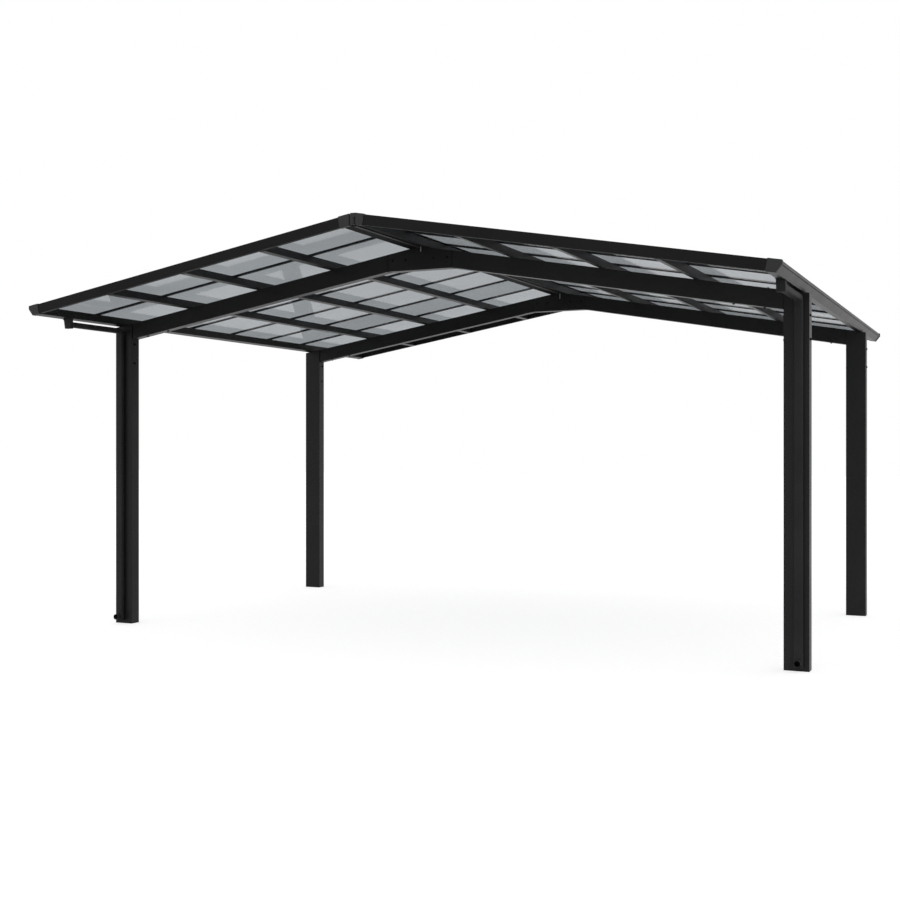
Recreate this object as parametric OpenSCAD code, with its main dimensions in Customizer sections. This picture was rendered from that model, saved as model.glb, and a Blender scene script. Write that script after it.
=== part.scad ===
// Free-standing double carport with a low gable roof of smoked sheets on an aluminium frame.
// Millimetres. Origin on the ground at the middle of the footprint, +X right, +Y to the rear, +Z up.

/* [Overall] */
// Width across the outer faces of the posts and gutters
width = 5460; // [4800:10:6200]
// Depth of the roof over the faces of the rakes
depth = 4970; // [4400:10:6000]
// Height of the ridge line above the ground
ridge_h = 2932; // [2700:1:3300]
// Roof pitch in degrees
pitch = 9.9; // [8:0.1:12]

/* [Posts] */
// Post size across the carport
post_w = 160; // [130:1:180]
// Post size from front to rear
post_d = 90; // [85:1:110]
// Wall of the post extrusion
post_wall = 3; // [2.5:0.1:4]
// Distance between front and rear post centres
post_span = 2940; // [2600:10:3200]

/* [Beams] */
// Beam height square to the slope
beam_h = 122; // [100:1:140]
// Beam thickness from front to rear
beam_t = 75; // [60:1:84]
// Wall of the beams and of the joint between them
beam_wall = 3; // [2:0.1:4]
// Length of the joint that ties two beams under the ridge
joint_l = 510; // [400:5:600]
// Width of the open slot in the top of the joint
joint_slot_w = 4; // [2:0.5:6]
// Depth of that slot
joint_slot_h = 35; // [20:1:45]

/* [Roof frame] */
// Rake height square to the slope
rake_h = 69; // [66:0.5:80]
// Rake thickness from front to rear
rake_t = 32; // [26:0.5:40]
// Wall of the rakes
rake_wall = 2.5; // [2:0.1:3]
// Purlin width along the slope
purlin_w = 38; // [30:1:60]
// Purlin height square to the slope
purlin_h = 55; // [50:1:62]
// Wall of the purlins and the ridge rails
purlin_wall = 2; // [1.5:0.1:3]
// Purlins on each slope
purlin_count = 3; // [2:1:4]
// Width of each ridge rail
ridge_rail_w = 65; // [50:1:80]
// Width of the key strip between the ridge rails
ridge_key_w = 18; // [12:1:24]
// Open slit on each side of the key strip
ridge_slit = 8; // [4:0.5:10]
// Width of the ridge cover on each slope
ridge_cover_w = 70; // [55:1:90]
// Half width of the flat along the top of the ridge cover
ridge_flat = 20; // [12:1:30]

/* [Glazing] */
// Sheet thickness
sheet_t = 4; // [3:0.5:6]
// Bays of sheet along each slope
bays = 8; // [6:1:10]
// Width of a glazing bar
bar_w = 18; // [16:1:30]
// Height of the bar below the sheet
bar_foot_h = 4; // [3:0.5:8]
// Width of the bar's web between two sheets
bar_web = 6; // [4:0.5:8]
// Height of the bar's cover above the sheet
cover_h = 9; // [6:0.5:11]
// How far the bars sit towards the rear of equal bays
bar_shift = 28; // [0:1:40]
// Room left between a sheet edge and the web or rail beside it
sheet_play = 2; // [1:0.5:3]
// Depth of the groove in a rake that takes the sheet edge
groove_d = 10; // [7:0.5:14]

/* [Gutters] */
// Gutter width
gutter_w = 90; // [80:1:110]
// Width of the gutter's flat bottom
gutter_bottom_w = 54; // [48:1:64]
// Height of the upright lip outside
gutter_lip_h = 22; // [16:0.5:28]
// Gutter wall
gutter_wall = 2; // [1.5:0.1:3]
// Flange that the sheets and bars rest on
gutter_flange_w = 16; // [12:0.5:22]
// How far the sheets reach past the inner wall
sheet_drip = 52; // [36:1:58]

/* [End caps] */
// Wall of the end caps
cap_t = 4; // [2:0.5:6]
// Length of an eave cap along the rake
eave_cap_l = 78; // [60:1:110]
// Distance from the ridge to the inner end of a left ridge cap
left_cap_in = 30; // [26:1:40]
// Length of a left ridge cap along the rake
left_cap_l = 83; // [70:1:100]
// Length of a right ridge cap along the rake
right_cap_l = 64; // [50:1:90]

/* [Downpipes] */
// Pipe size across the carport
pipe_w = 55; // [46:1:64]
// Pipe size from front to rear
pipe_d = 40; // [34:1:48]
// Radius of the pipe's rounded edges
pipe_r = 12; // [6:0.5:15]
// Pipe wall
pipe_wall = 1.8; // [1.2:0.1:2.5]
// Inside radius of the bend at the top
bend_r = 18; // [12:1:30]
// Gap between the gutter and the level run of the pipe
pipe_gap = 18; // [10:1:30]
// Distance from the front rake to the middle of the outlet
outlet_inset = 345; // [300:1:450]
// Size of the outlet from front to rear
outlet_d = 42; // [40:1:74]
// Bore through the gutter's bottom and the outlet
drain_d = 26; // [20:1:28]
// Taper of the outlet's front
outlet_taper = 12; // [3:0.5:16]
// How far the outlet reaches below the level pipe
outlet_drop = 11; // [4:1:20]
// Thickness of the outlet's flange
outlet_flange_t = 5; // [4:0.5:8]
// How far the flange stands out
outlet_flange_w = 4; // [3:0.5:8]
// Height of the pipe's foot above the ground
pipe_foot_h = 25; // [15:1:40]
// Outside diameter of the spout
spout_d = 43; // [36:0.5:44]
// Spout wall
spout_wall = 2.5; // [2:0.1:4]
// Room round the spout where it passes through the pipe
spout_fit = 0.3; // [0.2:0.1:0.5]
// Length of the spout in front of the pipe
spout_l = 40; // [25:1:60]
// Height of the spout's axis above the ground
spout_h = 58; // [52:1:80]

/* [Hidden] */
$fn = 48;
eps = 0.5;
frame_black = [0.13, 0.13, 0.135];
cap_grey = [0.23, 0.23, 0.235];
pipe_black = [0.16, 0.16, 0.165];
sheet_smoke = [0.55, 0.58, 0.6, 0.55];

// Outer face of the posts and gutters, front face of the roof, middle of a post row
half_w = width / 2;
half_d = depth / 2;
post_y = post_span / 2;
slope = tan(pitch);
steep = cos(pitch);

// Depths below the roof surface, square to the slope
sheet_top = cover_h;
sheet_bottom = sheet_top + sheet_t;
bar_bottom = sheet_bottom + bar_foot_h;
bearing = bar_bottom + purlin_h;
beam_bottom = bearing + beam_h;

// Places across the roof
rail_in = ridge_key_w / 2 + ridge_slit;
rail_out = rail_in + ridge_rail_w;
gutter_in = half_w - gutter_w;
gutter_low = gutter_in + gutter_bottom_w;
sheet_end = gutter_in + sheet_drip;
lip_low_z = roof_z(half_w, 0) - gutter_lip_h;
rake_in_y = half_d - rake_t;
bay = 2 * rake_in_y / bays;

// Middle of the gutter's bottom, spacing of the purlins, places of the downpipe
pipe_x = gutter_in + gutter_bottom_w / 2;
purlin_pitch = (pipe_x - rail_out) / (purlin_count + 1);
pipe_y = post_y + post_d / 2 + pipe_d / 2;
gutter_low_z = roof_z(gutter_low, bearing);
run_z = gutter_low_z - pipe_gap - pipe_d / 2;
outlet_y = half_d - outlet_inset;
outlet_low_z = run_z - pipe_d / 2 - outlet_drop;
bend_turn = bend_r + pipe_d / 2;
bend_y = -pipe_y - bend_turn;
bend_z = run_z - bend_turn;

// Height at a distance from the ridge and a depth below the roof surface
function roof_z(x, t) = ridge_h - x * slope - t / steep;

// Corners of a strip of roof between two distances and two depths, with upright ends
function strip(x1, x2, t1, t2) = [
    [x1, roof_z(x1, t1)],
    [x2, roof_z(x2, t1)],
    [x2, roof_z(x2, t2)],
    [x1, roof_z(x1, t2)]
];

// Corners of a bar lying across the slope, its ends square to the slope
function bar_section(x, w, t1, t2) = [
    for (c = [[-1, t1], [1, t1], [1, t2], [-1, t2]])
        [x + c[0] * w / 2 * steep - (c[1] - bar_bottom) * sin(pitch),
         roof_z(x, bar_bottom) - c[0] * w / 2 * sin(pitch) - (c[1] - bar_bottom) * steep]
];

// A shape drawn across the carport, drawn out from y1 to y2
module along_y(y1, y2) {
    translate([0, y2, 0])
        rotate([90, 0, 0])
            linear_extrude(y2 - y1)
                children();
}

// Copies the right half to the left, and the front half to the rear
module on_side(left = false, rear = false) {
    mirror([left ? 1 : 0, 0, 0])
        mirror([0, rear ? 1 : 0, 0])
            children();
}

// Post, hollow, cut on the bearing plane at the top and closed there
module post() {
    inner = half_w - post_w;
    color(frame_black)
        difference() {
            along_y(-post_y - post_d / 2, -post_y + post_d / 2)
                polygon([
                    [inner, 0],
                    [half_w, 0],
                    [half_w, roof_z(half_w, bearing)],
                    [inner, roof_z(inner, bearing)]
                ]);
            along_y(-post_y - post_d / 2 + post_wall, -post_y + post_d / 2 - post_wall)
                polygon([
                    [inner + post_wall, -eps],
                    [half_w - post_wall, -eps],
                    [half_w - post_wall, roof_z(half_w - post_wall, bearing + post_wall)],
                    [inner + post_wall, roof_z(inner + post_wall, bearing + post_wall)]
                ]);
        }
}

// Sloping beam from the joint to the post, hollow
module beam() {
    from = joint_l / 2;
    to = half_w - post_w;
    color(frame_black)
        difference() {
            along_y(-post_y - beam_t / 2, -post_y + beam_t / 2)
                polygon(strip(from, to, bearing, beam_bottom));
            along_y(-post_y - beam_t / 2 + beam_wall, -post_y + beam_t / 2 - beam_wall)
                polygon(strip(from - eps, to + eps, bearing + beam_wall, beam_bottom - beam_wall));
        }
}

// Cranked joint under the ridge: gable top, flat bottom, open at both ends
module beam_joint() {
    reach = joint_l / 2;
    low = roof_z(reach, beam_bottom);
    past = reach + eps;
    top = bearing + beam_wall;
    color(frame_black)
        difference() {
            along_y(-post_y - beam_t / 2, -post_y + beam_t / 2)
                polygon([
                    [-reach, low],
                    [reach, low],
                    [reach, roof_z(reach, bearing)],
                    [0, roof_z(0, bearing)],
                    [-reach, roof_z(reach, bearing)]
                ]);
            along_y(-post_y - beam_t / 2 + beam_wall, -post_y + beam_t / 2 - beam_wall)
                polygon([
                    [-past, low + beam_wall],
                    [past, low + beam_wall],
                    [past, roof_z(past, top)],
                    [0, roof_z(0, top)],
                    [-past, roof_z(past, top)]
                ]);
            translate([-joint_slot_w / 2, -post_y - beam_t, roof_z(0, bearing) - joint_slot_h])
                cube([joint_slot_w, 2 * beam_t, 2 * joint_slot_h]);
        }
}

// Outline of a rake, whose eave end follows the gutter
function rake_outline(from, grow) = [
    [from, roof_z(from, -grow)],
    [half_w + grow, roof_z(half_w + grow, -grow)],
    [half_w + grow, lip_low_z],
    [gutter_low + grow, roof_z(gutter_low + grow, rake_h + grow)],
    [from, roof_z(from, rake_h + grow)]
];

// Rake: a box along the gable edge with a groove for the sheets
module rake() {
    color(frame_black)
        difference() {
            along_y(-half_d, -rake_in_y)
                polygon(rake_outline(rail_in, 0));
            along_y(-half_d + rake_wall, -rake_in_y - rake_wall)
                polygon(strip(rail_in - eps, gutter_in, bar_bottom, rake_h - rake_wall));
            along_y(-rake_in_y - groove_d, -rake_in_y + eps)
                polygon(strip(rail_in - eps, sheet_end + sheet_play, sheet_top, sheet_bottom));
        }
}

// Gutter trough: inner wall with a flange, flat bottom, slanting outer wall, upright lip
module gutter() {
    w = gutter_wall;
    flange = gutter_in + gutter_flange_w;
    color(frame_black)
        difference() {
            along_y(-rake_in_y, rake_in_y)
                polygon([
                    [gutter_in, roof_z(gutter_in, bearing)],
                    [gutter_low, gutter_low_z],
                    [half_w, lip_low_z],
                    [half_w, roof_z(half_w, 0)],
                    [half_w - w, roof_z(half_w - w, 0)],
                    [half_w - w, lip_low_z + w / 2],
                    [gutter_low - w / 2, gutter_low_z + w * 1.2],
                    [gutter_in + w, roof_z(gutter_in + w, bearing - w)],
                    [gutter_in + w, roof_z(gutter_in + w, bar_bottom + w)],
                    [flange, roof_z(flange, bar_bottom + w)],
                    [flange, roof_z(flange, bar_bottom)],
                    [gutter_in, roof_z(gutter_in, bar_bottom)]
                ]);
            translate([pipe_x, -outlet_y, gutter_low_z - gutter_wall])
                cylinder(d = drain_d, h = gutter_w / 2);
        }
}

// Rail along each side of the ridge, hollow
module ridge_rail() {
    w = purlin_wall;
    color(frame_black)
        difference() {
            along_y(-rake_in_y, rake_in_y)
                polygon(strip(rail_in, rail_out, bar_bottom, bearing));
            along_y(-rake_in_y - eps, rake_in_y + eps)
                polygon(strip(rail_in + w, rail_out - w, bar_bottom + w, bearing - w));
        }
}

// Key strip between the ridge rails, seen as a thin line from below and at the gable ends
module ridge_key() {
    h = ridge_key_w / 2;
    color(cap_grey)
        along_y(-half_d, half_d)
            polygon([
                [-h, roof_z(h, bearing)],
                [0, roof_z(0, bearing)],
                [h, roof_z(h, bearing)],
                [h, roof_z(h, sheet_top)],
                [0, roof_z(0, sheet_top)],
                [-h, roof_z(h, sheet_top)]
            ]);
}

// Cover over the upper edges of the sheets
module ridge_cover() {
    w = ridge_cover_w;
    f = ridge_flat;
    color(frame_black)
        along_y(-rake_in_y, rake_in_y)
            polygon([
                [-w, roof_z(w, sheet_top)],
                [0, roof_z(0, sheet_top)],
                [w, roof_z(w, sheet_top)],
                [w, roof_z(w, 0)],
                [f, roof_z(f, 0)],
                [-f, roof_z(f, 0)],
                [-w, roof_z(w, 0)]
            ]);
}

// Purlins of one slope, hollow, from rake to rake
module purlins() {
    w = purlin_wall;
    color(frame_black)
        for (i = [1 : purlin_count]) {
            x = rail_out + i * purlin_pitch;
            difference() {
                along_y(-rake_in_y, rake_in_y)
                    polygon(bar_section(x, purlin_w, bar_bottom, bearing));
                along_y(-rake_in_y - eps, rake_in_y + eps)
                    polygon(bar_section(x, purlin_w - 2 * w, bar_bottom + w, bearing - w));
            }
        }
}

// Middle of a glazing bar, counted from the front
function bar_y(i) = -rake_in_y + i * bay + bar_shift;

// Glazing bars of one slope: foot, web and cover in one section
module glazing_bars() {
    color(frame_black)
        for (i = [1 : bays - 1]) {
            y = bar_y(i);
            along_y(y - bar_w / 2, y + bar_w / 2)
                polygon(strip(rail_in, sheet_end, sheet_bottom, bar_bottom));
            along_y(y - bar_web / 2, y + bar_web / 2)
                polygon(strip(ridge_cover_w, sheet_end, sheet_top - eps, sheet_bottom + eps));
            along_y(y - bar_w / 2, y + bar_w / 2)
                polygon(strip(ridge_cover_w, sheet_end, 0, sheet_top));
        }
}

// Sheets of one slope, one for each bay
module roof_sheets() {
    edge = bar_web / 2 + sheet_play;
    end_y = rake_in_y + groove_d - sheet_play;
    color(sheet_smoke)
        for (i = [0 : bays - 1])
            along_y(
                i == 0 ? -end_y : bar_y(i) + edge,
                i == bays - 1 ? end_y : bar_y(i + 1) - edge
            )
                polygon(strip(rail_in + sheet_play, sheet_end, sheet_top, sheet_bottom));
}

// Cap over the eave end of a rake, its inner edge square to the slope
module eave_cap() {
    inner = half_w - eave_cap_l;
    lean = (rake_h + 2 * cap_t) * sin(pitch);
    color(cap_grey)
        difference() {
            along_y(-half_d - cap_t, -rake_in_y)
                polygon([
                    [inner, roof_z(inner, -cap_t)],
                    [half_w + cap_t, roof_z(half_w + cap_t, -cap_t)],
                    [half_w + cap_t, lip_low_z],
                    [gutter_low + cap_t, roof_z(gutter_low + cap_t, rake_h + cap_t)],
                    [inner - lean, roof_z(inner - lean, rake_h + cap_t)]
                ]);
            along_y(-half_d, -rake_in_y + eps)
                polygon(rake_outline(rail_in, 0));
        }
}

// Cap over the ridge end of a rake; the right one starts nearer the ridge than the left
module ridge_cap(inner, length) {
    outer = inner + length;
    lean = (rake_h + 2 * cap_t) * sin(pitch);
    color(cap_grey)
        difference() {
            along_y(-half_d - cap_t, -rake_in_y)
                polygon([
                    [inner, roof_z(inner, -cap_t)],
                    [outer, roof_z(outer, -cap_t)],
                    [outer - lean, roof_z(outer - lean, rake_h + cap_t)],
                    [inner, roof_z(inner, rake_h + cap_t)]
                ]);
            along_y(-half_d, -rake_in_y + eps)
                polygon(rake_outline(rail_in - eps, 0));
        }
}

// Rounded rectangle made of straight sides and four arcs
module rounded(w, h, r) {
    square([w - 2 * r, h], center = true);
    square([w, h - 2 * r], center = true);
    for (x = [-1, 1], y = [-1, 1])
        translate([x * (w / 2 - r), y * (h / 2 - r)])
            circle(r);
}

// Tapered outlet under the gutter, with a flange against the gutter's bottom
module gutter_outlet() {
    near = pipe_x - pipe_w / 2;
    far = pipe_x + pipe_w / 2;
    lip = outlet_flange_w;
    under = bearing + outlet_flange_t;
    front = -outlet_y - outlet_d / 2;
    back = -outlet_y + outlet_d / 2;
    color(pipe_black)
        difference() {
            union() {
                along_y(front - lip, back + lip)
                    polygon(strip(near - lip, far + lip, bearing, under));
                intersection() {
                    along_y(front, back)
                        polygon([
                            [near, roof_z(near, under - eps)],
                            [far, roof_z(far, under - eps)],
                            [far, outlet_low_z],
                            [near, outlet_low_z]
                        ]);
                    translate([near, 0, 0])
                        rotate([90, 0, 90])
                            linear_extrude(pipe_w)
                                polygon([
                                    [front, gutter_low_z + gutter_w],
                                    [front, gutter_low_z - outlet_flange_t],
                                    [front + outlet_taper, outlet_low_z],
                                    [back, outlet_low_z],
                                    [back, gutter_low_z + gutter_w]
                                ]);
                }
            }
            translate([pipe_x, -outlet_y, run_z])
                cylinder(d = drain_d, h = gutter_w);
            translate([pipe_x, -outlet_y, run_z])
                rotate([-90, 0, 0])
                    cylinder(d = drain_d, h = outlet_d);
        }
}

// Level pipe under the gutter, from the outlet to the bend
module level_pipe() {
    from = -outlet_y + outlet_d / 2;
    color(pipe_black)
        translate([pipe_x, bend_y, run_z])
            rotate([90, 0, 0])
                difference() {
                    linear_extrude(bend_y - from)
                        rounded(pipe_w, pipe_d, pipe_r);
                    translate([0, 0, -eps])
                        linear_extrude(bend_y - from + 2 * eps)
                            rounded(pipe_w - 2 * pipe_wall, pipe_d - 2 * pipe_wall, pipe_r - pipe_wall);
                }
}

// Bend from the level pipe into the downpipe
module pipe_bend() {
    color(pipe_black)
        translate([pipe_x, bend_y, bend_z])
            rotate([0, 90, 0])
                rotate([0, 0, 90])
                    rotate_extrude(angle = 90)
                        translate([bend_turn, 0])
                            difference() {
                                rounded(pipe_d, pipe_w, pipe_r);
                                rounded(pipe_d - 2 * pipe_wall, pipe_w - 2 * pipe_wall, pipe_r - pipe_wall);
                            }
}

// Downpipe on the front of the post, closed at its foot, with a hole for the spout
module downpipe() {
    color(pipe_black)
        difference() {
            translate([pipe_x, -pipe_y, pipe_foot_h])
                linear_extrude(bend_z - pipe_foot_h)
                    rounded(pipe_w, pipe_d, pipe_r);
            translate([pipe_x, -pipe_y, pipe_foot_h + pipe_wall])
                linear_extrude(bend_z - pipe_foot_h)
                    rounded(pipe_w - 2 * pipe_wall, pipe_d - 2 * pipe_wall, pipe_r - pipe_wall);
            translate([pipe_x, -pipe_y, spout_h])
                rotate([90, 0, 0])
                    cylinder(d = spout_d + 2 * spout_fit, h = pipe_d);
        }
}

// Round spout at the foot of the downpipe, seated through the pipe's front wall
module spout() {
    seat = pipe_r;
    color(pipe_black)
        translate([pipe_x, -pipe_y - pipe_d / 2 + seat, spout_h])
            rotate([90, 0, 0])
                difference() {
                    cylinder(d = spout_d, h = spout_l + seat);
                    translate([0, 0, -eps])
                        cylinder(d = spout_d - 2 * spout_wall, h = spout_l + seat + 2 * eps);
                }
}

on_side(true, false) post();  // post_front_left
on_side(false, false) post();  // post_front_right
on_side(true, true) post();  // post_rear_left
on_side(false, true) post();  // post_rear_right
on_side(true, false) beam();  // beam_front_left
on_side(false, false) beam();  // beam_front_right
on_side(true, true) beam();  // beam_rear_left
on_side(false, true) beam();  // beam_rear_right
on_side(false, false) beam_joint();  // beam_joint_front
on_side(false, true) beam_joint();  // beam_joint_rear
on_side(true, false) rake();  // rake_front_left
on_side(false, false) rake();  // rake_front_right
on_side(true, true) rake();  // rake_rear_left
on_side(false, true) rake();  // rake_rear_right
on_side(true, false) gutter();  // gutter_left
on_side(false, false) gutter();  // gutter_right
on_side(true, false) ridge_rail();  // ridge_rail_left
on_side(false, false) ridge_rail();  // ridge_rail_right
ridge_key();
ridge_cover();
on_side(true, false) purlins();  // purlins_left
on_side(false, false) purlins();  // purlins_right
on_side(true, false) glazing_bars();  // glazing_bars_left
on_side(false, false) glazing_bars();  // glazing_bars_right
on_side(true, false) roof_sheets();  // roof_sheets_left
on_side(false, false) roof_sheets();  // roof_sheets_right
on_side(true, false) eave_cap();  // eave_cap_front_left
on_side(false, false) eave_cap();  // eave_cap_front_right
on_side(true, true) eave_cap();  // eave_cap_rear_left
on_side(false, true) eave_cap();  // eave_cap_rear_right
on_side(true, false) ridge_cap(left_cap_in, left_cap_l);  // ridge_cap_front_left
on_side(false, false) ridge_cap(rail_in, right_cap_l);  // ridge_cap_front_right
on_side(true, true) ridge_cap(left_cap_in, left_cap_l);  // ridge_cap_rear_left
on_side(false, true) ridge_cap(rail_in, right_cap_l);  // ridge_cap_rear_right
on_side(true, false) gutter_outlet();  // gutter_outlet_left
on_side(false, false) gutter_outlet();  // gutter_outlet_right
on_side(true, false) level_pipe();  // level_pipe_left
on_side(false, false) level_pipe();  // level_pipe_right
on_side(true, false) pipe_bend();  // pipe_bend_left
on_side(false, false) pipe_bend();  // pipe_bend_right
on_side(true, false) downpipe();  // downpipe_left
on_side(false, false) downpipe();  // downpipe_right
on_side(true, false) spout();  // spout_left
on_side(false, false) spout();  // spout_right
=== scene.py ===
"""Looks of a free-standing gabled carport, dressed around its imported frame."""

import math

import bmesh
import bpy
from bpy.props import FloatProperty, FloatVectorProperty, PointerProperty
from mathutils import Matrix, Vector


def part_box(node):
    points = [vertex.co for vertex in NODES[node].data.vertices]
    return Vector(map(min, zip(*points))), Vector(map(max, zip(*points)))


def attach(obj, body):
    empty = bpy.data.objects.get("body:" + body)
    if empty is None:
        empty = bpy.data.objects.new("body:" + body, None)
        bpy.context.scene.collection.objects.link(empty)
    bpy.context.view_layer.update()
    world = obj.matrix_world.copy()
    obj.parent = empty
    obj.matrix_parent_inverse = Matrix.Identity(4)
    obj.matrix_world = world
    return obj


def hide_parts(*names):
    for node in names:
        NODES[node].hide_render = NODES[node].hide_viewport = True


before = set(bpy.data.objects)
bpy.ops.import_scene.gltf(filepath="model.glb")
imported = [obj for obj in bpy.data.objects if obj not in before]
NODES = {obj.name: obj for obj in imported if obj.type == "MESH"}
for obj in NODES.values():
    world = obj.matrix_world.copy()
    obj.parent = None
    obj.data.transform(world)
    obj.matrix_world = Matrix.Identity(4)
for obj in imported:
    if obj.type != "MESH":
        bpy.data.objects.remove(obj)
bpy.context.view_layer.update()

bl_info = {
    "name": "Gabled Carport",
    "version": (1, 0, 0),
    "blender": (4, 5, 0),
    "location": "3D View > Sidebar > Carport",
    "description": "Finishes, fasteners, seals and stage for a gabled two-bay carport",
    "category": "Object",
}

SIDES = ("left", "right")
ENDS = ("front", "rear")
CORNERS = tuple(f"{end}_{side}" for end in ENDS for side in SIDES)
SIDE_SIGN = {"left": -1.0, "right": 1.0}
END_SIGN = {"front": -1.0, "rear": 1.0}

# Nodes by finish
POWDER_COATED = (
    [f"{kind}_{corner}" for kind in ("post", "beam") for corner in CORNERS]
    + [f"beam_joint_{end}" for end in ENDS]
    + [f"gutter_{side}" for side in SIDES]
)
ROOF_EDGES = [f"rake_{corner}" for corner in CORNERS] + ["ridge_cover"]
PURLINS = [f"purlins_{side}" for side in SIDES]
RIDGE_RAILS = [f"ridge_rail_{side}" for side in SIDES]
GLAZING_BARS = [f"glazing_bars_{side}" for side in SIDES]
CAPS = [f"{kind}_{corner}" for kind in ("eave_cap", "ridge_cap") for corner in CORNERS] + ["ridge_key"]
PIPES = [f"{kind}_{side}" for kind in ("level_pipe", "pipe_bend", "downpipe", "spout") for side in SIDES]
OUTLETS = [f"gutter_outlet_{side}" for side in SIDES]
SHEETS = [f"roof_sheets_{side}" for side in SIDES]

# Patterns in the finishes
CLOUD_START = 0.35
CLOUD_END = 0.65
GLOSS_DIP = 0.04
GLOSS_RISE = 0.05
GRAIN_DETAIL = 2.0
GRAIN_DEPTH = 0.0002
EDGE_LIFT = 1.15

# Reading and rounding the frame's shapes
MEASURE_SLACK = 1e-4
MERGE_DISTANCE = 1e-5
FLAT_ANGLE = math.radians(0.5)
EDGE_ANGLE = math.radians(20.0)
SHARP_ANGLE = math.radians(50.0)
ROUNDING_STEPS = 2
LOOKS_DOWN = 0.9

# Shape of a bolt head, as shares of its diameter and height
BOLT_SIDES = 18
BOLT_TOP = 0.36
BOLT_RIM = 0.14
SOCKET_DEPTH = 0.45

# Stage: a grey floor that keeps the shadow, with a glow that lifts it to white where it is seen
FLOOR_GREY = 0.42
FLOOR_GLOW = 0.7
SENSOR_W = 36.0
VIEW_DEPTH = 200.0


class CarportLook(bpy.types.PropertyGroup):
    """Sizes and colours of the finishes and small parts."""

    frame_colour: FloatVectorProperty(
        name="Frame colour", description="Powder coat of the frame", subtype="COLOR",
        size=3, default=(0.0114, 0.0114, 0.0118), min=0.0, max=1.0)
    bar_colour: FloatVectorProperty(
        name="Bar colour", description="Coat of the glazing bars", subtype="COLOR",
        size=3, default=(0.02, 0.0225, 0.025), min=0.0, max=1.0)
    cap_colour: FloatVectorProperty(
        name="Cap colour", description="Moulded end caps", subtype="COLOR",
        size=3, default=(0.032, 0.032, 0.033), min=0.0, max=1.0)
    pipe_colour: FloatVectorProperty(
        name="Pipe colour", description="Downpipes and outlets", subtype="COLOR",
        size=3, default=(0.0275, 0.0275, 0.028), min=0.0, max=1.0)
    sheet_colour: FloatVectorProperty(
        name="Sheet colour", description="Tint of the roof sheets", subtype="COLOR",
        size=3, default=(0.316, 0.337, 0.353), min=0.0, max=1.0)
    bolt_colour: FloatVectorProperty(
        name="Bolt colour", description="Blackened bolt heads", subtype="COLOR",
        size=3, default=(0.0016, 0.0016, 0.0017), min=0.0, max=1.0)
    # Colour of the dark strips in the beams' joints and the gutters' folds: painted shade standing for
    # shadowed gaps.
    seam_shade_colour: FloatVectorProperty(
        name="Seam colour", description="Rubber of the gaskets and creases", subtype="COLOR",
        size=3, default=(0.0035, 0.0035, 0.0036), min=0.0, max=1.0)
    # Pale clips: partly the clips' own zinc, partly a painted highlight for a lit edge under the ridge.
    clip_zinc_highlight_colour: FloatVectorProperty(
        name="Clip colour", description="Zinc of the clips under the ridge", subtype="COLOR",
        size=3, default=(0.55, 0.55, 0.56), min=0.0, max=1.0)
    pitch: FloatProperty(
        name="Roof pitch", description="Slope of the roof and beams", subtype="ANGLE",
        default=math.radians(9.9))
    # Width of the painted-shade strip in a beam's joint.
    seam_shade_w: FloatProperty(
        name="Seam width", description="Width of the dark gasket in a joint", default=0.003,
        unit="LENGTH", subtype="DISTANCE")
    edge_radius: FloatProperty(
        name="Edge radius", description="Rounding along the extrusions' edges", default=0.0015,
        unit="LENGTH", subtype="DISTANCE")
    cap_radius: FloatProperty(
        name="Cap radius", description="Rounding along the end caps' edges", default=0.0022,
        unit="LENGTH", subtype="DISTANCE")
    bolt_d: FloatProperty(
        name="Bolt head", description="Diameter of a bolt head", default=0.018,
        unit="LENGTH", subtype="DISTANCE")
    bolt_h: FloatProperty(
        name="Bolt height", description="Height of a bolt head", default=0.007,
        unit="LENGTH", subtype="DISTANCE")


class CarportStage(bpy.types.PropertyGroup):
    """Camera, floor and light."""

    lens: FloatProperty(
        name="Lens", description="Focal length on a 36 mm sensor", default=50.58, subtype="DISTANCE_CAMERA")
    eye: FloatVectorProperty(
        name="Eye", description="Place of the camera", subtype="XYZ", unit="LENGTH",
        size=3, default=(4.0057, -9.6688, 1.3948))
    yaw: FloatProperty(
        name="Yaw", description="Turn of the camera to the left of +Y", subtype="ANGLE",
        default=math.radians(24.76))
    floor_size: FloatProperty(
        name="Floor size", description="Side of the floor", default=120.0, unit="LENGTH", subtype="DISTANCE")
    world_strength: FloatProperty(
        name="Sky light", description="Strength of the even white light all round", default=1.0)


def look():
    return bpy.context.scene.carport_look


def stage_values():
    return bpy.context.scene.carport_stage


# Patterns


def new_material(name):
    material = bpy.data.materials.new(name)
    material.use_nodes = True
    nodes = material.node_tree.nodes
    links = material.node_tree.links
    return material, nodes, links, nodes["Principled BSDF"]


def object_noise(nodes, links, scale, detail):
    """Noise on object coordinates, in cycles a metre."""
    where = nodes.new("ShaderNodeTexCoord")
    noise = nodes.new("ShaderNodeTexNoise")
    noise.inputs["Scale"].default_value = scale
    noise.inputs["Detail"].default_value = detail
    links.new(where.outputs["Object"], noise.inputs["Vector"])
    return noise


def shade(colour, factor):
    return tuple(min(1.0, channel * factor) for channel in colour)


def clouded_colour(nodes, links, bsdf, colour, scale, detail, spread):
    """A faint cloud of darker and lighter tones of one colour."""
    cloud = object_noise(nodes, links, scale, detail)
    ramp = nodes.new("ShaderNodeValToRGB")
    dark, light = ramp.color_ramp.elements
    dark.position = CLOUD_START
    light.position = CLOUD_END
    dark.color = (*shade(colour, 1.0 - spread), 1.0)
    light.color = (*shade(colour, 1.0 + spread), 1.0)
    links.new(cloud.outputs["Fac"], ramp.inputs["Fac"])
    links.new(ramp.outputs["Color"], bsdf.inputs["Base Color"])


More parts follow.
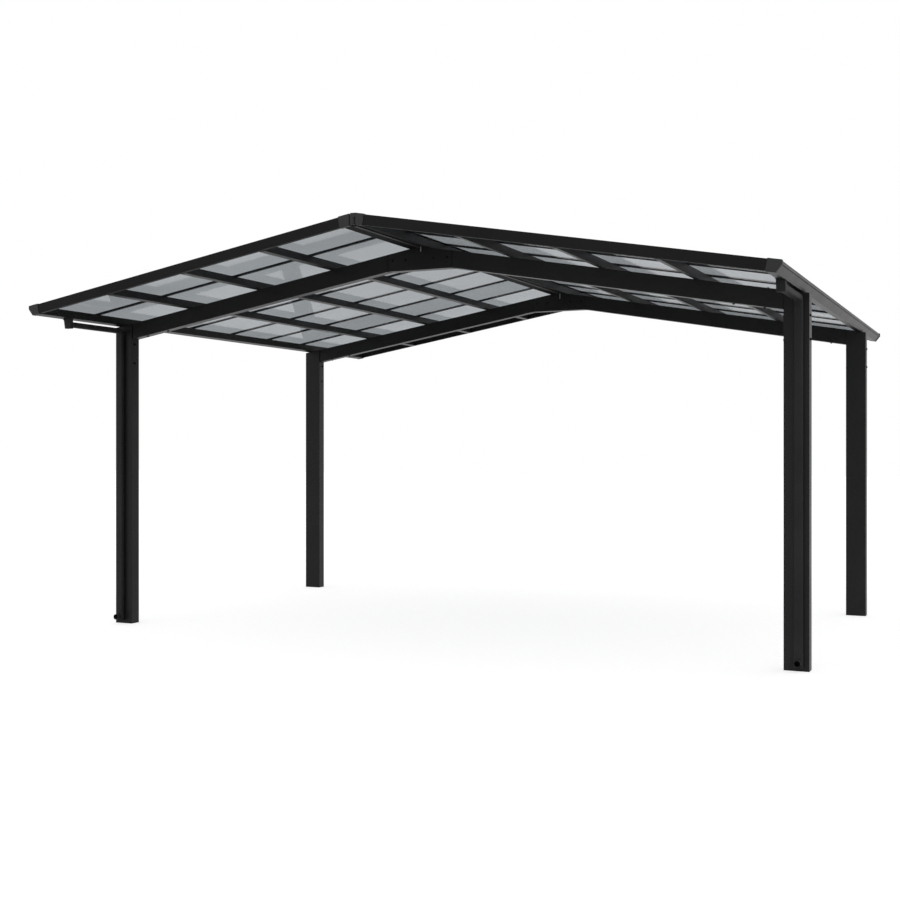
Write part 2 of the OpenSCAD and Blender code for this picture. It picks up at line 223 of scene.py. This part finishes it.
def uneven_gloss(nodes, links, bsdf, scale, detail, smooth, rough):
    """Roughness that drifts between two values."""
    patches = object_noise(nodes, links, scale, detail)
    spread = nodes.new("ShaderNodeMapRange")
    spread.inputs["To Min"].default_value = smooth
    spread.inputs["To Max"].default_value = rough
    links.new(patches.outputs["Fac"], spread.inputs["Value"])
    links.new(spread.outputs["Result"], bsdf.inputs["Roughness"])


def fine_grain(nodes, links, bsdf, scale, strength):
    """Bump of a powder coat or a moulding."""
    grain = object_noise(nodes, links, scale, GRAIN_DETAIL)
    bump = nodes.new("ShaderNodeBump")
    bump.inputs["Strength"].default_value = strength
    bump.inputs["Distance"].default_value = GRAIN_DEPTH
    links.new(grain.outputs["Fac"], bump.inputs["Height"])
    links.new(bump.outputs["Normal"], bsdf.inputs["Normal"])


# Materials


def coated_finish(name, colour, rough, spec, grain=420.0, strength=0.03):
    """Opaque finish: a faint cloud of colour, uneven gloss and a fine grain."""
    material, nodes, links, bsdf = new_material(name)
    clouded_colour(nodes, links, bsdf, colour, scale=2.3, detail=4.0, spread=0.14)
    uneven_gloss(
        nodes, links, bsdf, scale=9.0, detail=3.0, smooth=rough - GLOSS_DIP, rough=rough + GLOSS_RISE)
    fine_grain(nodes, links, bsdf, grain, strength)
    bsdf.inputs["Specular IOR Level"].default_value = spec
    return material


def powder_coat():
    """Coat of the posts, beams, joints and gutters."""
    return coated_finish("powder_coat", look().frame_colour, rough=0.42, spec=0.175)


def matt_coat():
    """Slightly paler, duller coat of the rakes and the ridge cover."""
    return coated_finish("matt_coat", shade(look().frame_colour, EDGE_LIFT), rough=0.55, spec=0.075)


def satin_coat():
    """Coat of the purlins and the ridge rails' sides."""
    return coated_finish("satin_coat", look().frame_colour, rough=0.42, spec=0.22)


def shaded_underside_coat():
    """Near-glossless copy of the coat for the faces under the ridge rails: painted shade that keeps the
    undersides dark as if in shadow.
    """
    return coated_finish("shaded_underside_coat", look().frame_colour, rough=0.6, spec=0.025)


def bar_coat():
    return coated_finish("bar_coat", look().bar_colour, rough=0.38, spec=0.4)


def moulded_cap():
    return coated_finish("moulded_cap", look().cap_colour, rough=0.55, spec=0.2, grain=300.0, strength=0.04)


def pipe_plastic():
    return coated_finish("pipe_plastic", look().pipe_colour, rough=0.6, spec=0.08, grain=260.0)


def black_bolt():
    return coated_finish("black_bolt", look().bolt_colour, rough=0.6, spec=0.06, grain=500.0)


# Near-black strips that paint the shade of gaps and creases.
def painted_seam_shade():
    return coated_finish(
        "painted_seam_shade", look().seam_shade_colour, rough=0.75, spec=0.05, grain=400.0, strength=0.04)


# Pale zinc that also paints the highlight of a lit edge.
def zinc_highlight_clip():
    return coated_finish("zinc_highlight_clip", look().clip_zinc_highlight_colour, rough=0.45, spec=0.4, grain=500.0, strength=0.04)


def smoked_sheet():
    """Clear sheet with a smoky tint, a little haze and a thin gloss."""
    material, nodes, links, bsdf = new_material("smoked_sheet")
    clouded_colour(nodes, links, bsdf, look().sheet_colour, scale=0.9, detail=3.0, spread=0.07)
    uneven_gloss(nodes, links, bsdf, scale=1.7, detail=2.0, smooth=0.1, rough=0.2)
    bsdf.inputs["IOR"].default_value = 1.001
    bsdf.inputs["Transmission Weight"].default_value = 1.0
    bsdf.inputs["Coat Weight"].default_value = 0.27
    bsdf.inputs["Coat Roughness"].default_value = 0.06
    bsdf.inputs["Coat IOR"].default_value = 1.55
    return material


# Pieces


def put_piece(name, bm, material, replaced=()):
    """Turns a bmesh into a finished piece on the only body."""
    mesh = bpy.data.meshes.new(name)
    bm.to_mesh(mesh)
    bm.free()
    mesh.materials.append(material)
    piece = bpy.data.objects.new(name, mesh)
    bpy.context.scene.collection.objects.link(piece)
    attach(piece, "root")
    if replaced:
        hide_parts(*replaced)
    return piece


def smooth_flats(piece):
    """Smooth rounding along the edges with the flats kept flat."""
    piece.data.polygons.foreach_set("use_smooth", [True] * len(piece.data.polygons))
    piece.data.set_sharp_from_angle(angle=SHARP_ANGLE)
    weighted = piece.modifiers.new("flat_faces", "WEIGHTED_NORMAL")
    weighted.keep_sharp = True


def merged_copy(node):
    """The CAD node's triangles joined into flat faces."""
    bm = bmesh.new()
    bm.from_mesh(NODES[node].data)
    bmesh.ops.remove_doubles(bm, verts=bm.verts, dist=MERGE_DISTANCE)
    bmesh.ops.dissolve_limit(
        bm, angle_limit=FLAT_ANGLE, use_dissolve_boundaries=False,
        verts=bm.verts, edges=bm.edges, delimit=set())
    return bm


def round_edges(bm, radius):
    sharp = [
        edge for edge in bm.edges
        if len(edge.link_faces) == 2 and edge.calc_face_angle(0.0) > EDGE_ANGLE
    ]
    bmesh.ops.bevel(
        bm, geom=sharp, offset=radius, offset_type="OFFSET", segments=ROUNDING_STEPS, profile=0.5,
        affect="EDGES", material=-1, clamp_overlap=True)


def rounded_node(node, radius, material):
    """A CAD node replaced by its own shape with softly rounded edges."""
    bm = merged_copy(node)
    round_edges(bm, radius)
    piece = put_piece(f"{node}_finished", bm, material, (node,))
    smooth_flats(piece)
    return piece


def shade_underside(piece, material):
    """Gives the faces that look down a near-glossless copy of the coat: painted shade, so they stay dark as
    if in shadow.
    """
    piece.data.materials.append(material)
    for face in piece.data.polygons:
        if face.normal.z < -LOOKS_DOWN:
            face.material_index = 1


def faces_round(verts):
    return list({face for vert in verts for face in vert.link_faces})


def add_bolt(bm, at, axis, diameter, height):
    """Tapered bolt head with a round socket, standing on a face."""
    out = Vector(axis)
    turn = Vector((0.0, 0.0, 1.0)).rotation_difference(out).to_matrix().to_4x4()
    place = Matrix.Translation(Vector(at)) @ turn @ Matrix.Translation((0.0, 0.0, height / 2))
    made = bmesh.ops.create_cone(
        bm, cap_ends=True, segments=BOLT_SIDES, radius1=diameter / 2, radius2=diameter * BOLT_TOP,
        depth=height, matrix=place)
    top = max(faces_round(made["verts"]), key=lambda face: face.calc_center_median().dot(out))
    bmesh.ops.inset_region(bm, faces=[top], thickness=diameter * BOLT_RIM, depth=0.0)
    bmesh.ops.translate(bm, verts=top.verts, vec=-out * height * SOCKET_DEPTH)


def add_block(bm, x1, x2, y1, y2, z1, z2, taper=1.0):
    """Box between two corners; its bottom may be narrower across, from the first x."""
    made = bmesh.ops.create_cube(bm, size=1.0)["verts"]
    for vert in made:
        below = vert.co.z < 0
        width = (x2 - x1) * (taper if below else 1.0)
        vert.co = Vector((
            x1 + width * (vert.co.x + 0.5),
            y1 + (y2 - y1) * (vert.co.y + 0.5),
            z1 if below else z2))
    bmesh.ops.recalc_face_normals(bm, faces=faces_round(made))


def beam_heights(end, x):
    """Bottom and top of a beam at a distance from the ridge."""
    low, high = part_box(f"beam_{end}_right")
    slope = math.tan(look().pitch)
    return low.z + (high.x - x) * slope, high.z - (x - low.x) * slope


def add_band(bm, end, sign, x, width, proud):
    """Dark band of painted shade round a beam, standing for the shadowed gap of its joint, square to the
    floor, standing a little proud.
    """
    low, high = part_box(f"beam_{end}_right")
    made = bmesh.ops.create_cube(bm, size=1.0)["verts"]
    for vert in made:
        at = x + width * vert.co.x
        bottom, top = beam_heights(end, at)
        y = low.y - proud if vert.co.y < 0 else high.y + proud
        z = bottom - proud if vert.co.z < 0 else top
        vert.co = Vector((sign * at, y, z))
    bmesh.ops.recalc_face_normals(bm, faces=faces_round(made))


def gutter_crease():
    """Height of the fold between the gutter's upright lip and its slanting wall."""
    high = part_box("gutter_right")[1]
    verts = NODES["gutter_right"].data.vertices
    return min(vert.co.z for vert in verts if vert.co.x > high.x - MEASURE_SLACK)


class CARPORT_OT_frame(bpy.types.Operator):
    """Coated frame with softly rounded edges"""
    bl_idname = "carport.frame"
    bl_label = "Frame"

    def execute(self, context):
        satin = satin_coat()
        coats = (
            (POWDER_COATED, powder_coat()),
            (ROOF_EDGES, matt_coat()),
            (PURLINS, satin),
            (RIDGE_RAILS, satin),
            (GLAZING_BARS, bar_coat()),
        )
        pieces = {}
        for nodes, coat in coats:
            for node in nodes:
                pieces[node] = rounded_node(node, look().edge_radius, coat)
        # Painted shade: the ridge rails' undersides get a near-glossless copy of the coat that keeps them
        # dark as if in shadow.
        underside_shade = shaded_underside_coat()
        for node in RIDGE_RAILS:
            shade_underside(pieces[node], underside_shade)
        return {"FINISHED"}


class CARPORT_OT_caps(bpy.types.Operator):
    """Moulded end caps and the key strip of the ridge"""
    bl_idname = "carport.caps"
    bl_label = "End caps"

    def execute(self, context):
        mould = moulded_cap()
        for node in CAPS:
            rounded_node(node, look().cap_radius, mould)
        return {"FINISHED"}


class CARPORT_OT_pipes(bpy.types.Operator):
    """Outlets, downpipes and spouts"""
    bl_idname = "carport.pipes"
    bl_label = "Downpipes"

    def execute(self, context):
        plastic = pipe_plastic()
        for node in PIPES:
            NODES[node].material_slots[0].material = plastic
        for node in OUTLETS:
            rounded_node(node, look().edge_radius, plastic)
        return {"FINISHED"}


class CARPORT_OT_sheets(bpy.types.Operator):
    """Smoked roof sheets"""
    bl_idname = "carport.sheets"
    bl_label = "Roof sheets"

    def execute(self, context):
        smoke = smoked_sheet()
        for node in SHEETS:
            NODES[node].material_slots[0].material = smoke
        return {"FINISHED"}


class CARPORT_OT_bolts(bpy.types.Operator):
    """Bolt heads on the posts, beams and joints"""
    bl_idname = "carport.bolts"
    bl_label = "Bolts"

    # Down from a post's top, and out towards its gable from the middle of a side
    post_drops = (0.165, 0.317)
    post_offset = 0.011
    # In from a beam's outer end
    beam_tops = (0.104,)
    beam_bottoms = (0.324, 0.126)
    # Across from the ridge and down from a joint's middle, and the shares of a full head
    joint_places = (-0.218, -0.113, 0.11, 0.218)
    joint_drop = 0.007
    joint_head_d = 0.85
    joint_head_h = 0.5

    def execute(self, context):
        steel = black_bolt()
        put_piece("post_bolts", self.post_bolts(look()), steel)
        put_piece("beam_bolts", self.beam_bolts(look()), steel)
        put_piece("joint_bolts", self.joint_bolts(look()), steel)
        return {"FINISHED"}

    def post_bolts(self, values):
        bm = bmesh.new()
        for corner in CORNERS:
            low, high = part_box(f"post_{corner}")
            end = corner.split("_")[0]
            y = (low.y + high.y) / 2 + END_SIGN[end] * self.post_offset
            for drop in self.post_drops:
                for x, axis in ((low.x, (-1, 0, 0)), (high.x, (1, 0, 0))):
                    add_bolt(bm, (x, y, high.z - drop), axis, values.bolt_d, values.bolt_h)
        return bm

    def beam_bolts(self, values):
        bm = bmesh.new()
        for end in ENDS:
            low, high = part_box(f"beam_{end}_right")
            y = (low.y + high.y) / 2
            for sign in SIDE_SIGN.values():
                up = Vector((math.sin(values.pitch) * sign, 0.0, math.cos(values.pitch)))
                for inset in self.beam_tops:
                    x = high.x - inset
                    at = (sign * x, y, beam_heights(end, x)[1])
                    add_bolt(bm, at, up, values.bolt_d, values.bolt_h)
                for inset in self.beam_bottoms:
                    x = high.x - inset
                    at = (sign * x, y, beam_heights(end, x)[0])
                    add_bolt(bm, at, -up, values.bolt_d, values.bolt_h)
        return bm

    def joint_bolts(self, values):
        bm = bmesh.new()
        diameter = values.bolt_d * self.joint_head_d
        height = values.bolt_h * self.joint_head_h
        for end in ENDS:
            low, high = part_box(f"beam_joint_{end}")
            z = (low.z + high.z) / 2 - self.joint_drop
            for x in self.joint_places:
                for y, axis in ((low.y, (0, -1, 0)), (high.y, (0, 1, 0))):
                    add_bolt(bm, (x, y, z), axis, diameter, height)
        return bm


class CARPORT_OT_seams(bpy.types.Operator):
    """Dark strips of painted shade for shadowed gaps, where the beams meet the posts and joints, and along
    the gutters' folds
    """
    bl_idname = "carport.seams"
    bl_label = "Seams"

    proud = 0.0008
    crease_w = 0.0035
    crease_sink = 0.001

    def execute(self, context):
        # Painted shade: dark strips stand for the shadowed gaps at the beams' ends and under the gutters'
        # lips.
        seam_shade = painted_seam_shade()
        put_piece("beam_seam_shades", self.beam_seam_shades(look().seam_shade_w), seam_shade)
        put_piece("gutter_crease_shades", self.gutter_crease_shades(), seam_shade)
        return {"FINISHED"}

    def beam_seam_shades(self, width):
        bm = bmesh.new()
        for end in ENDS:
            low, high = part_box(f"beam_{end}_right")
            for sign in SIDE_SIGN.values():
                for x in (low.x + width / 2, high.x - width / 2):
                    add_band(bm, end, sign, x, width, self.proud)
        return bm

    # Dark strips along the gutters' folds: painted shade for the shadowed groove under each lip.
    def gutter_crease_shades(self):
        bm = bmesh.new()
        low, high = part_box("gutter_right")
        crease = gutter_crease()
        for sign in SIDE_SIGN.values():
            add_block(
                bm, sign * (high.x - self.crease_sink), sign * (high.x + self.proud), low.y, high.y,
                crease - self.crease_w, crease)
        return bm


class CARPORT_OT_ridge(bpy.types.Operator):
    """Plates that close the gable ends of the ridge, with the strip and clips below it"""
    bl_idname = "carport.ridge"
    bl_label = "Ridge ends"

    plate_x = (-0.021, 0.001)
    plate_radius = 0.0012
    tongue_h = 0.03
    tongue_taper = 0.75
    tongue_plate_lap = 0.001
    tongue_cap_lap = 0.002
    strip_w = 0.022
    strip_h = 0.009
    strip_sink = 0.004
    strip_radius = 0.0018
    clip_x = 0.0108
    clip_w = 0.005
    clip_t = 0.003
    clip_sink = 0.0005
    clip_h = {"front": 0.036, "rear": 0.056}

    def execute(self, context):
        mould = bpy.data.materials["moulded_cap"]
        smooth_flats(put_piece("ridge_plates", self.plates(), mould))
        smooth_flats(put_piece("ridge_strip", self.strip(), mould))
        # The clips' pale colour is partly zinc and partly a painted highlight.
        put_piece("ridge_clips", self.clips(), zinc_highlight_clip())
        return {"FINISHED"}

    def plates(self):
        """A plate over the key's end, with a tapering tongue that reaches the right cap."""
        bm = bmesh.new()
        left, right = self.plate_x
        key_low, key_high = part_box("ridge_key")
        for end in ENDS:
            low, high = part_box(f"ridge_cap_{end}_right")
            face, key_end = (low.y, key_low.y) if end == "front" else (high.y, key_high.y)
            add_block(bm, left, right, face, key_end, key_low.z, high.z)
            add_block(
                bm, right - self.tongue_plate_lap, low.x + self.tongue_cap_lap, face, key_end,
                high.z - self.tongue_h, high.z, taper=self.tongue_taper)
        round_edges(bm, self.plate_radius)
        return bm

    def strip(self):
        """Strip under the key, broken where the beam joints cross it."""
        bm = bmesh.new()
        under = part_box("ridge_key")[0].z
        rail_low, rail_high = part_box("ridge_rail_right")
        stops = [rail_low.y]
        for end in ENDS:
            low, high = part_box(f"beam_joint_{end}")
            stops += [low.y, high.y]
        stops.append(rail_high.y)
        for start, stop in zip(stops[0::2], stops[1::2]):
            add_block(
                bm, -self.strip_w / 2, self.strip_w / 2, start, stop,
                under - self.strip_h, under + self.strip_sink)
        round_edges(bm, self.strip_radius)
        return bm

    def clips(self):
        """Upright clips on both faces of each beam joint, in pale zinc that also paints the highlight of a
        lit edge.
        """
        bm = bmesh.new()
        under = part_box("ridge_key")[0].z
        left = self.clip_x - self.clip_w / 2
        right = self.clip_x + self.clip_w / 2
        for end in ENDS:
            low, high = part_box(f"beam_joint_{end}")
            foot = under - self.clip_h[end]
            add_block(bm, left, right, low.y - self.clip_t, low.y + self.clip_sink, foot, under)
            add_block(bm, left, right, high.y - self.clip_sink, high.y + self.clip_t, foot, under)
        return bm


class CARPORT_OT_stage(bpy.types.Operator):
    """Floor, light and camera"""
    bl_idname = "carport.stage"
    bl_label = "Stage"

    def execute(self, context):
        values = stage_values()
        scene = context.scene
        scene.view_settings.view_transform = "Standard"
        add_floor(values.floor_size)
        light_world(values.world_strength)
        camera_data = bpy.data.cameras.new("photo_camera")
        camera_data.sensor_width = SENSOR_W
        camera_data.lens = values.lens
        camera_data.clip_end = VIEW_DEPTH
        camera = bpy.data.objects.new("photo_camera", camera_data)
        camera.location = values.eye
        camera.rotation_euler = (math.radians(90.0), 0.0, values.yaw)
        scene.collection.objects.link(camera)
        scene.camera = camera
        return {"FINISHED"}


def larger(nodes, links, first, second):
    node = nodes.new("ShaderNodeMath")
    node.operation = "MAXIMUM"
    links.new(first, node.inputs[0])
    links.new(second, node.inputs[1])
    return node.outputs[0]


def seen_rays(nodes, links):
    """1 for rays that the camera sees straight, in gloss or through sheets."""
    path = nodes.new("ShaderNodeLightPath")
    direct = larger(nodes, links, path.outputs["Is Camera Ray"], path.outputs["Is Glossy Ray"])
    return larger(nodes, links, direct, path.outputs["Is Transmission Ray"])


def white_floor():
    """Grey floor that takes the shadow and glows only for rays that are seen."""
    material = bpy.data.materials.new("white_floor")
    material.use_nodes = True
    nodes = material.node_tree.nodes
    links = material.node_tree.links
    nodes.clear()
    out = nodes.new("ShaderNodeOutputMaterial")
    total = nodes.new("ShaderNodeAddShader")
    matt = nodes.new("ShaderNodeBsdfDiffuse")
    matt.inputs["Color"].default_value = (FLOOR_GREY, FLOOR_GREY, FLOOR_GREY, 1.0)
    glow = nodes.new("ShaderNodeEmission")
    strength = nodes.new("ShaderNodeMath")
    strength.operation = "MULTIPLY"
    strength.inputs[1].default_value = FLOOR_GLOW
    links.new(seen_rays(nodes, links), strength.inputs[0])
    links.new(strength.outputs[0], glow.inputs["Strength"])
    links.new(matt.outputs[0], total.inputs[0])
    links.new(glow.outputs[0], total.inputs[1])
    links.new(total.outputs[0], out.inputs["Surface"])
    return material


def add_floor(size):
    bm = bmesh.new()
    bmesh.ops.create_grid(bm, x_segments=2, y_segments=2, size=size / 2)
    mesh = bpy.data.meshes.new("floor")
    bm.to_mesh(mesh)
    bm.free()
    mesh.materials.append(white_floor())
    floor = bpy.data.objects.new("floor", mesh)
    bpy.context.scene.collection.objects.link(floor)


def light_world(strength):
    world = bpy.data.worlds.new("white_surround")
    bpy.context.scene.world = world
    world.use_nodes = True
    background = world.node_tree.nodes["Background"]
    background.inputs["Color"].default_value = (1.0, 1.0, 1.0, 1.0)
    background.inputs["Strength"].default_value = strength


PIECES = (
    CARPORT_OT_frame,
    CARPORT_OT_caps,
    CARPORT_OT_pipes,
    CARPORT_OT_sheets,
    CARPORT_OT_bolts,
    CARPORT_OT_seams,
    CARPORT_OT_ridge,
    CARPORT_OT_stage,
)


class CARPORT_PT_panel(bpy.types.Panel):
    """Lists the carport's steps"""
    bl_idname = "CARPORT_PT_panel"
    bl_label = "Carport"
    bl_space_type = "VIEW_3D"
    bl_region_type = "UI"
    bl_category = "Carport"

    def draw(self, context):
        for piece in PIECES:
            self.layout.operator(piece.bl_idname)


CLASSES = (CarportLook, CarportStage, *PIECES, CARPORT_PT_panel)


def register():
    for cls in CLASSES:
        bpy.utils.register_class(cls)
    bpy.types.Scene.carport_look = PointerProperty(type=CarportLook)
    bpy.types.Scene.carport_stage = PointerProperty(type=CarportStage)


def unregister():
    del bpy.types.Scene.carport_stage
    del bpy.types.Scene.carport_look
    for cls in reversed(CLASSES):
        bpy.utils.unregister_class(cls)


def main():
    register()
    bpy.ops.carport.frame()
    bpy.ops.carport.caps()
    bpy.ops.carport.pipes()
    bpy.ops.carport.sheets()
    bpy.ops.carport.bolts()
    bpy.ops.carport.seams()
    bpy.ops.carport.ridge()
    bpy.ops.carport.stage()


if __name__ == "__main__":
    main()
